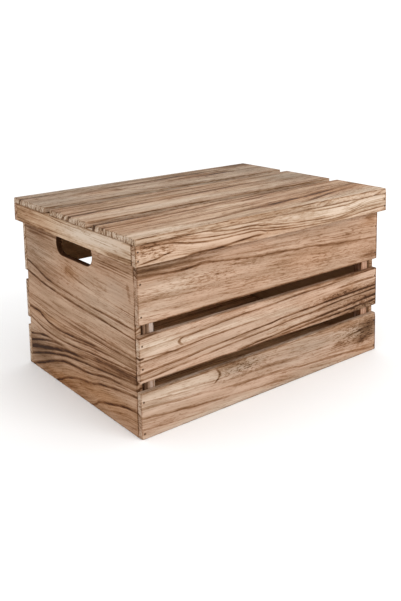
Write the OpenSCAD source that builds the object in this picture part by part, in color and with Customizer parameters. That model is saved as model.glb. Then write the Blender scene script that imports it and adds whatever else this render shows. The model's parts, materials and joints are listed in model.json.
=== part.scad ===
// Slatted wooden kindling box with a lift-off lid.
// Millimetres. X runs along the box, Y from front (-) to back (+), Z up from the ground.

/* [Box] */
// Length over the two end panels
box_l = 460; // [400:1:520]
// Depth over the front and back slats
box_w = 326; // [290:1:350]
// Height of the walls, up to the underside of the lid boards
box_h = 262; // [250:1:290]

/* [End panels] */
// Thickness of an end panel
panel_t = 8.5; // [8:0.5:12]
// Length of a hand hole
hole_l = 102; // [85:1:115]
// Height of a hand hole
hole_h = 32; // [26:1:36]
// Depth of the hand hole's middle below the top of the walls
hole_drop = 41; // [36:1:60]

/* [Slats] */
// Thickness of a slat
slat_t = 8.5; // [7:0.5:12]
// Height of the bottom slat
low_slat_h = 63.5; // [55:0.5:66]
// Gap over the bottom slat
low_gap = 13.5; // [8:0.5:16]
// Height of the middle slat
mid_slat_h = 62; // [55:0.5:66]
// Gap over the middle slat
high_gap = 15.5; // [8:0.5:18]

/* [Corner battens] */
// Width of a batten along the box
batten_w = 15.5; // [12:0.5:22]
// Depth of a batten from the slats inwards
batten_d = 15; // [12:1:20]
// Open slit between a batten and the end panel
batten_slit = 4; // [2:0.5:6]

/* [Floor] */
// Thickness of a floor board
floor_t = 7; // [5:0.5:10]
// Gap between two floor boards
floor_gap = 4; // [2:0.5:8]
// Height of a floor cleat
cleat_h = 10; // [8:1:16]
// Width of a floor cleat along the box
cleat_w = 20; // [14:1:28]
// Play of the floor inside the walls, at each side
floor_fit = 0.3; // [0.2:0.1:0.6]

/* [Lid] */
// Thickness of a lid board
lid_board_t = 8.5; // [7:0.5:12]
// Gap between two lid boards
lid_gap = 17; // [10:0.5:20]
// Depth of the lid's skirt under the boards
skirt_h = 27.5; // [20:0.5:30]
// Thickness of the long front and back skirts
skirt_t = 9.7; // [8:0.1:12]
// Thickness of the two end rails between the skirts
rail_t = 7.2; // [7:0.1:10]
// Play of the lid over the box walls, at each side
lid_fit = 0.8; // [0.5:0.1:0.9]

/* [Edges] */
// Radius of the eased long edges
arris = 1.5; // [0.5:0.1:2]

/* [Nails] */
// Radius of a nail's shank
nail_r = 0.7; // [0.5:0.05:1]
// Radius of a nail's head
nail_head_r = 1.2; // [1.1:0.05:1.5]
// Length of a nail
nail_l = 22; // [18:1:24]
// Radius of a brad's shank
brad_r = 0.5; // [0.4:0.05:0.7]
// Radius of a brad's head
brad_head_r = 0.9; // [0.8:0.05:1.05]
// Length of a brad
brad_l = 20; // [16:1:22]
// Thickness of a nail's or brad's head
head_t = 0.6; // [0.4:0.1:1]
// Depth of the heads below the wood
head_sink = 0.3; // [0.1:0.1:0.5]
// Play round a nail in its hole
nail_fit = 0.05; // [0.04:0.01:0.1]

/* [Hidden] */

$fn = 48;
cut = 0.5;                                // overshoot of a cutting tool
overlap = 0.1;                            // a shank's reach into its head

// Walls
slat_in = box_w / 2 - slat_t;             // inner face of the slats
panel_in = box_l / 2 - panel_t;           // inner face of the end panels
mid_z = low_slat_h + low_gap;             // bottom of the middle slat
top_z = mid_z + mid_slat_h + high_gap;    // bottom of the top slat
top_slat_h = box_h - top_z;
hole_z = box_h - hole_drop;               // middle of the hand holes
wall_nail_x = box_l / 2 - panel_t / 2;    // the nails run into the panels' edges
batten_x = panel_in - batten_slit - batten_w;

// Heights of the nails, as shares of each slat's height
low_nails = [0.12, 0.8];
mid_nails = [0.3, 0.8];
top_nails = [0.1, 0.5, 0.9];

// Floor
floor_l = 2 * (panel_in - floor_fit);
floor_w = 2 * (slat_in - floor_fit);
floor_board_w = (floor_w - 2 * floor_gap) / 3;
floor_pitch = floor_board_w + floor_gap;
floor_top = cleat_h + floor_t;
floor_brad_x = panel_in - cleat_w / 2;
floor_brad_l = floor_t + 0.7 * cleat_h;

// Lid
lid_l = box_l + 2 * (rail_t + lid_fit);
lid_w = box_w + 2 * (skirt_t + lid_fit);
lid_board_w = (lid_w - 2 * lid_gap) / 3;
lid_pitch = lid_board_w + lid_gap;
lid_top = box_h + lid_board_t;
skirt_z = box_h - skirt_h;
skirt_y = lid_w / 2 - skirt_t / 2;        // middle of a long skirt
rail_x = lid_l / 2 - rail_t / 2;          // middle of an end rail
skirt_nails = [0.28, 0.7];                // shares of the skirt's depth
quarter = 0.25;                           // brads a quarter in from a board's edges
skirt_brad_pitch = lid_l / 4;

// Colours of the charred and brushed wood, its inner faces and the steel
outer_wood = [0.76, 0.62, 0.48];
lid_wood = [0.73, 0.60, 0.46];
inner_wood = [0.36, 0.24, 0.16];
steel = [0.20, 0.18, 0.17];

// ---- wood ------------------------------------------------------------------

// Rectangle from the origin with eased corners
module eased(w, h) {
  translate([arris, 0]) square([w - 2 * arris, h]);
  translate([0, arris]) square([w, h - 2 * arris]);
  for (x = [arris, w - arris], y = [arris, h - arris])
    translate([x, y]) circle(arris);
}

// Board along X with its middle at x = 0; y and z give its lower corner
module board_x(l, y, w, z, h) {
  translate([-l / 2, y, z])
    rotate([90, 0, 90])
      linear_extrude(l) eased(w, h);
}

// Board along Y with its middle at y = 0; x and z give its lower corner
module board_y(l, x, w, z, h) {
  translate([x, l / 2, z])
    rotate([90, 0, 0])
      linear_extrude(l) eased(w, h);
}

// Upright board; x, y and z give its lower corner
module board_z(x, w, y, d, z, h) {
  translate([x, y, z])
    linear_extrude(h) eased(w, d);
}

// ---- nails -----------------------------------------------------------------

// Nail pointing down, with the top of its head at the origin
module nail(l, r, head_r) {
  translate([0, 0, -head_t]) cylinder(r = head_r, h = head_t);
  translate([0, 0, -l]) cylinder(r = r, h = l - head_t + overlap);
}

// The countersunk hole that holds it
module nail_hole(l, r, head_r) {
  translate([0, 0, -head_t - nail_fit])
    cylinder(r = head_r + nail_fit, h = head_t + nail_fit + head_sink + cut);
  translate([0, 0, -l - nail_fit])
    cylinder(r = r + nail_fit, h = l);
}

// Front faces: a nail at each end of a board and at each share of its height
module nails_into_ends(x, y, z, h, shares) {
  for (s = [-1, 1], k = shares)
    translate([s * x, y + head_sink, z + k * h])
      rotate([90, 0, 0])
        children();
}

// Every nail of the front slats
module at_wall_nails() {
  face = -box_w / 2;
  nails_into_ends(wall_nail_x, face, 0, low_slat_h, low_nails) children();
  nails_into_ends(wall_nail_x, face, mid_z, mid_slat_h, mid_nails) children();
  nails_into_ends(wall_nail_x, face, top_z, top_slat_h, top_nails) children();
}

// Every nail of the lid's front skirt
module at_skirt_nails() {
  nails_into_ends(rail_x, -lid_w / 2, skirt_z, skirt_h, skirt_nails) children();
}

// Brads through the ends of three boards side by side
module at_end_brads(x, pitch, w, top) {
  for (sx = [-1, 1], i = [-1, 0, 1], k = [-1, 1])
    translate([sx * x, i * pitch + k * (0.5 - quarter) * w, top - head_sink])
      children();
}

// Every brad of the lid boards, into the rails and into the skirts
module at_lid_brads() {
  at_end_brads(rail_x, lid_pitch, lid_board_w, lid_top) children();
  for (sy = [-1, 1], i = [-1, 0, 1])
    translate([i * skirt_brad_pitch, sy * skirt_y, lid_top - head_sink])
      children();
}

// Every brad of the floor boards
module at_floor_brads() {
  at_end_brads(floor_brad_x, floor_pitch, floor_board_w, floor_top) children();
}

module wall_nail_holes() {
  at_wall_nails() nail_hole(nail_l, nail_r, nail_head_r);
}

module skirt_nail_holes() {
  at_skirt_nails() nail_hole(nail_l, nail_r, nail_head_r);
}

module lid_brad_holes() {
  at_lid_brads() nail_hole(brad_l, brad_r, brad_head_r);
}

module floor_brad_holes() {
  at_floor_brads() nail_hole(floor_brad_l, brad_r, brad_head_r);
}

// ---- box -------------------------------------------------------------------

// Slot with round ends, cut through a panel that stands at x
module hand_hole(x) {
  reach = hole_l / 2 - hole_h / 2;
  translate([x - cut, 0, hole_z])
    rotate([90, 0, 90])
      linear_extrude(panel_t + 2 * cut) {
        square([2 * reach, hole_h], center = true);
        for (s = [-1, 1])
          translate([s * reach, 0]) circle(hole_h / 2);
      }
}

// Solid end panel between the front and back slats, with its hand hole
module end_panel(x) {
  color(outer_wood)
    difference() {
      translate([x, -slat_in, 0]) cube([panel_t, 2 * slat_in, box_h]);
      hand_hole(x);
      wall_nail_holes();
      mirror([0, 1, 0]) wall_nail_holes();
    }
}

module end_panel_left() {
  end_panel(-box_l / 2);
}

module end_panel_right() {
  end_panel(panel_in);
}

// Front slat, nailed over the edges of both end panels
module slat(z, h) {
  color(outer_wood)
    difference() {
      board_x(box_l, -box_w / 2, slat_t, z, h);
      wall_nail_holes();
    }
}

module front_slat_bottom() {
  slat(0, low_slat_h);
}

module front_slat_middle() {
  slat(mid_z, mid_slat_h);
}

module front_slat_top() {
  slat(top_z, top_slat_h);
}

module back_slat_bottom() {
  mirror([0, 1, 0]) front_slat_bottom();
}

module back_slat_middle() {
  mirror([0, 1, 0]) front_slat_middle();
}

module back_slat_top() {
  mirror([0, 1, 0]) front_slat_top();
}

// Corner batten, glued to the inside of a slat row, on the floor
module batten(x, y) {
  color(inner_wood)
    board_z(x, batten_w, y, batten_d, floor_top, box_h - floor_top);
}

module batten_front_left() {
  batten(-batten_x - batten_w, -slat_in);
}

module batten_front_right() {
  batten(batten_x, -slat_in);
}

module batten_back_left() {
  batten(-batten_x - batten_w, slat_in - batten_d);
}

module batten_back_right() {
  batten(batten_x, slat_in - batten_d);
}

// Cleat along the foot of an end panel, carrying the floor boards
module floor_cleat(x) {
  color(inner_wood)
    difference() {
      board_y(floor_w, x, cleat_w, 0, cleat_h);
      floor_brad_holes();
    }
}

module floor_cleat_left() {
  floor_cleat(-panel_in);
}

module floor_cleat_right() {
  floor_cleat(panel_in - cleat_w);
}

// Floor board number i, counted from the middle one
module floor_board(i) {
  color(inner_wood)
    difference() {
      board_x(floor_l, i * floor_pitch - floor_board_w / 2, floor_board_w, cleat_h, floor_t);
      floor_brad_holes();
    }
}

module floor_board_front() {
  floor_board(-1);
}

module floor_board_middle() {
  floor_board(0);
}

module floor_board_back() {
  floor_board(1);
}

module front_nails() {
  color(steel) at_wall_nails() nail(nail_l, nail_r, nail_head_r);
}

module back_nails() {
  mirror([0, 1, 0]) front_nails();
}

module floor_brads() {
  color(steel) at_floor_brads() nail(floor_brad_l, brad_r, brad_head_r);
}

// ---- lid -------------------------------------------------------------------

// Lid board number i, counted from the middle one
module lid_board(i) {
  color(lid_wood)
    difference() {
      board_x(lid_l, i * lid_pitch - lid_board_w / 2, lid_board_w, box_h, lid_board_t);
      lid_brad_holes();
    }
}

module lid_board_front() {
  lid_board(-1);
}

module lid_board_middle() {
  lid_board(0);
}

module lid_board_back() {
  lid_board(1);
}

// Long skirt that hangs in front of the top slat
module lid_skirt_front() {
  color(lid_wood)
    difference() {
      board_x(lid_l, -lid_w / 2, skirt_t, skirt_z, skirt_h);
      skirt_nail_holes();
      lid_brad_holes();
    }
}

module lid_skirt_back() {
  mirror([0, 1, 0]) lid_skirt_front();
}

// Short rail that hangs outside an end panel, between the skirts
module lid_rail(x) {
  color(lid_wood)
    difference() {
      board_y(lid_w - 2 * skirt_t, x, rail_t, skirt_z, skirt_h);
      skirt_nail_holes();
      mirror([0, 1, 0]) skirt_nail_holes();
      lid_brad_holes();
    }
}

module lid_rail_left() {
  lid_rail(-lid_l / 2);
}

module lid_rail_right() {
  lid_rail(lid_l / 2 - rail_t);
}

module lid_front_nails() {
  color(steel) at_skirt_nails() nail(nail_l, nail_r, nail_head_r);
}

module lid_back_nails() {
  mirror([0, 1, 0]) lid_front_nails();
}

module lid_brads() {
  color(steel) at_lid_brads() nail(brad_l, brad_r, brad_head_r);
}

// ---- what is drawn -----------------------------------------------------------

end_panel_left();
end_panel_right();
front_slat_bottom();
front_slat_middle();
front_slat_top();
back_slat_bottom();
back_slat_middle();
back_slat_top();
batten_front_left();
batten_front_right();
batten_back_left();
batten_back_right();
floor_cleat_left();
floor_cleat_right();
floor_board_front();
floor_board_middle();
floor_board_back();
front_nails();
back_nails();
floor_brads();
lid_board_front();
lid_board_middle();
lid_board_back();
lid_skirt_front();
lid_skirt_back();
lid_rail_left();
lid_rail_right();
lid_front_nails();
lid_back_nails();
lid_brads();
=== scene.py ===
import json
import math
import random
from functools import partialmethod

import bpy
import numpy as np
from mathutils import Matrix, Vector


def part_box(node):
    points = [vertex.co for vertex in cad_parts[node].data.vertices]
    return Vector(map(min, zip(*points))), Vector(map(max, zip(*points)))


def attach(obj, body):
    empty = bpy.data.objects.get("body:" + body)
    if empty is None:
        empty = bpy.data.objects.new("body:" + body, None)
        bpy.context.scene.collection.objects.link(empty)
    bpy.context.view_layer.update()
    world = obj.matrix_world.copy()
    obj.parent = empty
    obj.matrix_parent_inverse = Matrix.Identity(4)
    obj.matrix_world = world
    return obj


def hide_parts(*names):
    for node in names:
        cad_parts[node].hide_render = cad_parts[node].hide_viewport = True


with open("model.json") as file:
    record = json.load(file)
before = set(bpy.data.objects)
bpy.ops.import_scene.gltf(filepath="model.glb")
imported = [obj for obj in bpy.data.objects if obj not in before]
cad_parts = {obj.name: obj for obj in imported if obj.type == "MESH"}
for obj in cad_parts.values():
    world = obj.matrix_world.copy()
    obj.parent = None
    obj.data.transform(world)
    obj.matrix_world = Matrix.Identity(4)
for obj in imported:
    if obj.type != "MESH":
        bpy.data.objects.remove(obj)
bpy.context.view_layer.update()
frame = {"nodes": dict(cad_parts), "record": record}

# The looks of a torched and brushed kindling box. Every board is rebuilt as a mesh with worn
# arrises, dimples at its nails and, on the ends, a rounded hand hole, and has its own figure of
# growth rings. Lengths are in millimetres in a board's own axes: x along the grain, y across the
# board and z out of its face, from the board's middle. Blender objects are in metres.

MM = 0.001
TINY = 1e-9

# ---- the CAD model's boards

# For each way a board can lie: along its grain, across it, and out of its face
FRONT = ((1, 0, 0), (0, 0, 1), (0, -1, 0))
BACK = ((-1, 0, 0), (0, 0, 1), (0, 1, 0))
LEFT = ((0, -1, 0), (0, 0, 1), (-1, 0, 0))
RIGHT = ((0, 1, 0), (0, 0, 1), (1, 0, 0))
FLAT = ((1, 0, 0), (0, 1, 0), (0, 0, 1))
POST = ((0, 0, 1), (1, 0, 0), (0, 1, 0))
CLEAT = ((0, 1, 0), (-1, 0, 0), (0, 0, 1))


def islands(node):
    """The middle of each loose part of a CAD node, in metres."""
    mesh = frame["nodes"][node].data
    points = [tuple(round(c, 6) for c in v.co) for v in mesh.vertices]
    part_of = {point: {point} for point in points}
    for edge in mesh.edges:
        part, other = (part_of[points[i]] for i in edge.vertices)
        if part is not other:
            part |= other
            part_of.update(dict.fromkeys(other, part))
    middles = []
    for part in {id(part): part for part in part_of.values()}.values():
        low, high = (Vector(side(axis) for axis in zip(*part)) for side in (min, max))
        middles.append((low + high) / 2)
    return middles


class Board:
    """A board of the CAD model: its middle and axes in the frame, and half its size."""

    def __init__(self, node, lie):
        low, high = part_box(node)
        spread = (high - low) / MM
        self.node = node
        self.middle = (low + high) / 2
        self.axes = Matrix(lie).transposed()
        self.half = [abs(spread.dot(Vector(axis))) / 2 for axis in lie]

    def own(self, point):
        """A point of the frame in the board's own axes."""
        return (self.axes.transposed() @ (point - self.middle)) / MM

    def nails(self, nail_node):
        """Where the board's own nails stand on its face."""
        if nail_node is None:
            return []
        spots = [self.own(nail) for nail in islands(nail_node)]
        return [(x, y) for x, y, _ in spots if abs(x) < self.half[0] and abs(y) < self.half[1]]


HOLE_INSET = 15          # what is further than this from a panel's outline belongs to its hand hole


class HandHole:
    """The hand hole of an end panel in its own axes: a slot with round ends."""

    def __init__(self, panel):
        vertices = frame["nodes"][panel.node].data.vertices
        points = np.array([panel.own(v.co) for v in vertices])[:, :2]
        inside = np.abs(points) < np.array(panel.half[:2]) - HOLE_INSET
        rim = points[inside.all(axis=1)]
        low, high = rim.min(axis=0), rim.max(axis=0)
        self.x, self.y = (low + high) / 2
        self.reach, self.radius = (high - low) / 2
        self.straight = self.reach - self.radius

    def spine(self, x):
        """The x of the nearest point of the slot's centre line."""
        return np.clip(x - self.x, -self.straight, self.straight) + self.x


# ---- board meshes

EDGE_STEPS = (0, 0.3, 0.7, 1.2, 1.8, 2.6, 4.0)   # mesh lines near an edge, where it is rounded
NAIL_STEPS = (0, 0.7, 1.3, 2.0)                  # and round a nail
BOARD_STEPS = (9, 6, 3)      # the widest cells of a board's mesh along, across and through it
PANEL_STEPS = (6, 5, 3)      # and of an end panel's
LEAST_STEP = 0.2             # mesh lines closer than this are left out
ARRIS_RADIUS = 1.0
ARRIS_WAVES = ((0.25, 45), (0.12, 9))            # its unevenness: share, and length of the waves
SOFT_BAND = (12, 5)          # how far from its edge a soft edge starts, and is full
DIMPLE_RADII = (0.9, 1.7)    # a dimple's flat middle, and its rim
DIMPLE_DEPTH = 0.4
NAIL_STAIN = (1.1, 1.9)      # where the burnt wood round a nail starts to fade, and has faded
EDGE_WEAR = (0.4, 2.2)       # the same for the wear along the arrises, which on the lid boards also carries painted shade of the gaps
RIM_WEAR = (0.4, 2.6)        # on the hand hole's rim
RIM_STAIN = (0.2, 1.5)       # and for the burnt wood there
RIM_RADIUS = 1.0
RIM_MARGIN = 8               # how far round the hand hole the mesh follows its rim
OFF_RIM = 99.0               # the distance to the rim that a point away from the hole is given


def mesh_lines(half, step, marks=(), mark_steps=NAIL_STEPS):
    """Mesh lines from -half to half: close near the ends and the marks, else at most step apart."""
    wanted = [side * (half - d) for d in EDGE_STEPS if d < half for side in (-1, 1)]
    wanted += [m + side * d for m in marks for d in mark_steps for side in (-1, 1)]
    lines = [-half]
    for w in sorted(w for w in wanted if abs(w) <= half):
        start = lines[-1]
        gap = w - start
        if gap < LEAST_STEP or (half - w < LEAST_STEP and w < half):
            continue
        parts = max(1, math.ceil(gap / step))
        lines += [start + gap * i / parts for i in range(1, parts + 1)]
    return lines


def smooth(low, high, value):
    """0 below low, 1 above high, and a soft step between."""
    t = np.clip((value - low) / (high - low), 0, 1)
    return t * t * (3 - 2 * t)


def ripple(points, length, seed, waves=5):
    """Slow, smooth unevenness from -1 to 1, with waves about length long."""
    rng = random.Random(seed)
    total = np.zeros(len(points))
    for _ in range(waves):
        direction = np.array([rng.gauss(0, 1) for _ in range(3)])
        wave = 2 * math.pi / length * direction / np.linalg.norm(direction) * rng.uniform(0.6, 1.6)
        total += np.sin(points @ wave + rng.uniform(0, 2 * math.pi))
    return total / waves


def arris_radius(points, seed, chips, soft_edge=None):
    """How far each point's nearest edge is rounded: uneven, and more at chips and a soft edge."""
    (slow, slow_length), (fine, fine_length) = ARRIS_WAVES
    uneven = slow * ripple(points, slow_length, seed) + fine * ripple(points, fine_length, seed + 1)
    radius = ARRIS_RADIUS * (1 + uneven)
    for x, y, z, size in chips:
        away = np.linalg.norm(points - np.array([x, y, z]), axis=1)
        radius = radius + size * np.exp(-((away / (1.5 * size + 1)) ** 2))
    if soft_edge:
        side, wide = soft_edge
        half_y, half_z = np.abs(points[:, 1]).max(), np.abs(points[:, 2]).max()
        near = smooth(half_y - SOFT_BAND[0], half_y - SOFT_BAND[1], side * points[:, 1])
        radius = radius + wide * near * smooth(-0.5 * half_z, 0.5 * half_z, points[:, 2])
    return radius


def round_box(points, half, radius):
    """Pulls the points of a box's surface in to rounded edges and corners."""
    limit = np.minimum(radius, half.min() * 0.9)[:, None]
    inner = np.clip(points, -(half - limit), half - limit)
    out = points - inner
    length = np.linalg.norm(out, axis=1, keepdims=True)
    return np.where(length > TINY, inner + out / np.maximum(length, TINY) * limit, points)


def sink_nails(points, half_z, nails):
    """Dimples in the outer face where the nails are set, and how dark the wood is round each."""
    stain = np.zeros(len(points))
    outer = points[:, 2] > half_z - 0.3
    for x, y in nails:
        away = np.hypot(points[:, 0] - x, points[:, 1] - y)
        points[:, 2] -= np.where(outer, DIMPLE_DEPTH * (1 - smooth(*DIMPLE_RADII, away)), 0)
        stain = np.maximum(stain, np.where(outer, 1 - smooth(*NAIL_STAIN, away), 0))
    return stain


def edge_wear(points, half):
    """1 along the arrises, falling to 0 about 2 mm from them."""
    depth = np.sort(half - np.abs(points), axis=1)
    return 1 - smooth(*EDGE_WEAR, depth[:, 0] + depth[:, 1])


class Skin:
    """The points and faces of a mesh in the making. A point has a key, and is made only once."""

    def __init__(self):
        self.index, self.points, self.rims, self.faces = {}, [], [], []

    def point(self, key, place, rim=OFF_RIM):
        """The number of the point with this key. Its rim is how far out of the hand hole it is."""
        if key not in self.index:
            self.index[key] = len(self.points)
            self.points.append(place)
            self.rims.append(rim)
        return self.index[key]

    def grid(self, corner, columns, rows, turned, wanted=None):
        """Adds the wanted faces of a grid, turned over or not. Its point (a, b) is corner(a, b)."""
        for a in range(columns):
            for b in range(rows):
                if wanted is None or wanted(a, b):
                    quad = [corner(a, b), corner(a + 1, b), corner(a + 1, b + 1), corner(a, b + 1)]
                    self.faces.append(quad[::-1] if turned else quad)

    def mesh(self, name, points, wear_and_gap_shade, stain):
        """The mesh, with its points moved to where they belong."""
        mesh = bpy.data.meshes.new(name)
        mesh.from_pydata([tuple(p * MM) for p in points], [], self.faces)
        mesh.validate()
        for layer, values in (("wear_and_gap_shade", wear_and_gap_shade), ("stain", stain)):
            attribute = mesh.attributes.new(layer, "FLOAT", "POINT")
            attribute.data.foreach_set("value", values.astype(np.float32))
        mesh.shade_smooth()
        return mesh


def board_mesh(board, nails, seed, chips=(), soft_edge=None):
    """A board: the skin of a lattice of mesh lines, rounded, worn and dimpled."""
    half = np.array(board.half)
    marks = ([x for x, _ in nails], [y for _, y in nails], ())
    lines = [mesh_lines(*axis) for axis in zip(half, BOARD_STEPS, marks)]
    last = [len(axis) - 1 for axis in lines]
    skin = Skin()
    for fixed in range(3):
        a, b = (fixed + 1) % 3, (fixed + 2) % 3
        for end in (0, last[fixed]):

            def corner(i, j):
                at = {fixed: end, a: i, b: j}
                key = (at[0], at[1], at[2])
                return skin.point(key, [axis[n] for axis, n in zip(lines, key)])

            skin.grid(corner, last[a], last[b], turned=end == 0)
    points = np.array(skin.points)
    wear_and_gap_shade = edge_wear(points, half)
    points = round_box(points, half, arris_radius(points, seed, chips, soft_edge))
    stain = sink_nails(points, half[2], nails)
    return skin.mesh(board.node, points, wear_and_gap_shade, stain)


def panel_mesh(panel, hole, seed, chips=()):
    """An end panel: a lattice whose cells by the hand hole give way to rings that follow its rim."""
    half = np.array(panel.half)
    around = hole.reach + RIM_MARGIN, hole.radius + RIM_MARGIN
    frame_x = (hole.x - around[0], hole.x + around[0])
    frame_y = (hole.y - around[1], hole.y + around[1])
    xs = mesh_lines(half[0], PANEL_STEPS[0], frame_x, (0,))
    ys = mesh_lines(half[1], PANEL_STEPS[1], frame_y, (0,))
    zs = mesh_lines(half[2], PANEL_STEPS[2])
    columns, rows, layers = len(xs) - 1, len(ys) - 1, len(zs) - 1
    left, right = (min(range(len(xs)), key=lambda i: abs(xs[i] - f)) for f in frame_x)
    below, above = (min(range(len(ys)), key=lambda j: abs(ys[j] - f)) for f in frame_y)
    loop = [(i, below) for i in range(left, right)]
    loop += [(right, j) for j in range(below, above)]
    loop += [(i, above) for i in range(right, left, -1)]
    loop += [(left, j) for j in range(above, below, -1)]
    rings = EDGE_STEPS[::-1]
    skin = Skin()

    def lattice(i, j, k):
        return skin.point((i, j, k), (xs[i], ys[j], zs[k]))

    def ring(n, step, k):
        """A point beside the hole: on the line from its centre line out through the loop's point."""
        n %= len(loop)
        i, j = loop[n]
        if step == 0:
            return lattice(i, j, k)
        centre = np.array([hole.spine(xs[i]), hole.y])
        out = np.array([xs[i], ys[j]]) - centre
        rim = rings[step - 1]
        x, y = centre + out / np.linalg.norm(out) * (hole.radius + rim)
        return skin.point(("ring", step, n, k), (x, y, zs[k]), rim)

    def off_hole(i, j):
        return not (left <= i < right and below <= j < above)

    for k in (layers, 0):
        skin.grid(lambda i, j: lattice(i, j, k), columns, rows, k == 0, off_hole)
        skin.grid(lambda n, step: ring(n, step, k), len(loop), len(rings), k == 0)
    for j in (0, rows):
        skin.grid(lambda i, k: lattice(i, j, k), columns, layers, j == rows)
    for i in (0, columns):
        skin.grid(lambda j, k: lattice(i, j, k), rows, layers, i == 0)
    skin.grid(lambda n, k: ring(n, len(rings), k), len(loop), layers, True)

    points, rims = np.array(skin.points), np.array(skin.rims)
    rim_wear = 1 - smooth(*RIM_WEAR, rims + half[2] - np.abs(points[:, 2]))
    wear_and_gap_shade = np.maximum(edge_wear(points, half), rim_wear)
    points = round_box(points, half, arris_radius(points, seed, chips))
    round_rim(points, rims, half[2], hole)
    return skin.mesh(panel.node, points, wear_and_gap_shade, 1 - smooth(*RIM_STAIN, rims))


def round_rim(points, rims, half_z, hole):
    """Rounds the rim of the hand hole: rims holds how far out of the hole each point is."""
    near = rims < OFF_RIM
    out, z = rims[near], points[near, 2]
    inner_out = np.maximum(out, RIM_RADIUS)
    inner_z = np.clip(z, RIM_RADIUS - half_z, half_z - RIM_RADIUS)
    off = np.stack([out - inner_out, z - inner_z], axis=1)
    length = np.linalg.norm(off, axis=1)
    scale = np.where(length > TINY, RIM_RADIUS / np.maximum(length, TINY), 0)
    centre = np.stack([hole.spine(points[near, 0]), np.full(near.sum(), hole.y)], axis=1)
    away = points[near, :2] - centre
    away /= np.linalg.norm(away, axis=1, keepdims=True)
    points[near, :2] = centre + away * (hole.radius + inner_out + off[:, 0] * scale)[:, None]
    points[near, 2] = inner_z + off[:, 1] * scale


# ---- colours, from 0 to 255

TAN = ((187, 160, 140), (165, 138, 117))          # a board's tan: light, and in streaks darker
LID_TAN = ((186, 160, 137), (158, 132, 109))
# The end panels' tan is darker than the boards' partly for their own wood and partly as painted shade on
# the end faces.
PANEL_TAN_AND_SHADE = ((180, 150, 126), (158, 128, 103))
INNER = ((150, 106, 68), (132, 90, 56))
FLOOR_BROWN = ((218, 174, 132), (198, 154, 112))
POST_PINK = ((204, 170, 150), (184, 148, 126))
POST_GREY = ((212, 200, 192), (160, 140, 128))
CAST = (178, 141, 116)        # clouds over every board
CREAM = (199, 181, 163)       # pale patches and end grain
ASH = (148, 136, 122)         # grey patches
AMBER = (158, 112, 70)        # warm patches
RAW = (222, 184, 146)         # the unburnt inner faces


def srgb(red, green, blue):
    """A colour given as 0 to 255, as Blender's linear colour."""
    def linear(c):
        c /= 255
        return c / 12.92 if c <= 0.04045 else ((c + 0.055) / 1.055) ** 2.4
    return (linear(red), linear(green), linear(blue), 1)


# ---- shader graphs


class Graph:
    """Adds shader nodes to a new material. Methods return the new node's result."""

    def __init__(self, name):
        self.material = bpy.data.materials.new(name)
        self.material.use_nodes = True
        self.tree = self.material.node_tree
        self.tree.nodes.clear()

    def node(self, kind, inputs=(), **settings):
        """Adds a node and returns the node itself."""
        made = self.tree.nodes.new("ShaderNode" + kind)
        for setting, value in settings.items():
            setattr(made, setting, value)
        for key, value in dict(inputs).items():
            if isinstance(value, bpy.types.NodeSocket):
                self.tree.links.new(value, made.inputs[key])
            else:
                made.inputs[key].default_value = value
        return made

    def math(self, operation, a, b=0.0, c=0.0, clamp=False):
        return self.node("Math", {0: a, 1: b, 2: c}, operation=operation, use_clamp=clamp).outputs[0]

    add = partialmethod(math, "ADD")
    minus = partialmethod(math, "SUBTRACT")
    times = partialmethod(math, "MULTIPLY")
    times_add = partialmethod(math, "MULTIPLY_ADD")
    most = partialmethod(math, "MAXIMUM")

    def vector(self, operation, a, b):
        made = self.node("VectorMath", {0: a, 1: b}, operation=operation)
        return made.outputs["Value" if operation == "DOT_PRODUCT" else "Vector"]

    def scaled(self, vector, factors):
        return self.vector("MULTIPLY", vector, factors)

    def object_place(self):
        """The place in the object's own axes, in millimetres."""
        return self.scaled(self.node("TexCoord").outputs["Object"], (1 / MM,) * 3)

    def noise(self, vector, detail, roughness=0.5):
        inputs = {"Vector": vector, "Scale": 1.0, "Detail": detail, "Roughness": roughness}
        return self.node("TexNoise", inputs).outputs["Fac"]

    def stretch(self, value, low, high, to_low=0.0, to_high=1.0, soft=True):
        """Maps low..high to to_low..to_high, held at the ends."""
        inputs = {"Value": value, "From Min": low, "From Max": high, "To Min": to_low, "To Max": to_high}
        kind = "SMOOTHSTEP" if soft else "LINEAR"
        return self.node("MapRange", inputs, interpolation_type=kind).outputs["Result"]

    def blend(self, share, a, b):
        inputs = {"Factor": share, "A": a, "B": b}
        return self.node("Mix", inputs, data_type="FLOAT").outputs["Result"]

    def tint(self, share, a, b, how="MIX"):
        inputs = {0: share, 6: a, 7: b}
        return self.node("Mix", inputs, data_type="RGBA", blend_type=how).outputs[2]

    def ramp(self, value, stops):
        made = self.node("ValToRGB", {"Fac": value})
        elements = made.color_ramp.elements
        while len(elements) < len(stops):
            elements.new(0.5)
        for element, (position, colour) in zip(elements, stops):
            element.position = position
            element.color = colour if hasattr(colour, "__len__") else (colour, colour, colour, 1)
        return made.outputs["Color"]

    def curve(self, value, points):
        """A smooth curve through points of value: result, held beyond the first and last."""
        runs, results = list(points), points.values()
        first, last = runs[0], runs[-1]
        low, spread = min(results) - 1, max(results) - min(results) + 2
        made = self.node("FloatCurve", {"Value": self.stretch(value, first, last, soft=False)})
        curve = made.mapping.curves[0]
        shares = [((x - first) / (last - first), (y - low) / spread) for x, y in points.items()]
        for x, y in shares[1:-1]:
            curve.points.new(x, y)
        for point, place in zip(curve.points, shares):
            point.location = place
        made.mapping.update()
        return self.times_add(made.outputs[0], spread, low)

    def surface(self, inputs):
        """Ends the graph with a surface and returns the material."""
        shader = self.node("BsdfPrincipled", inputs)
        self.node("OutputMaterial", {"Surface": shader.outputs["BSDF"]})
        return self.material


# ---- torched wood

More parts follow.
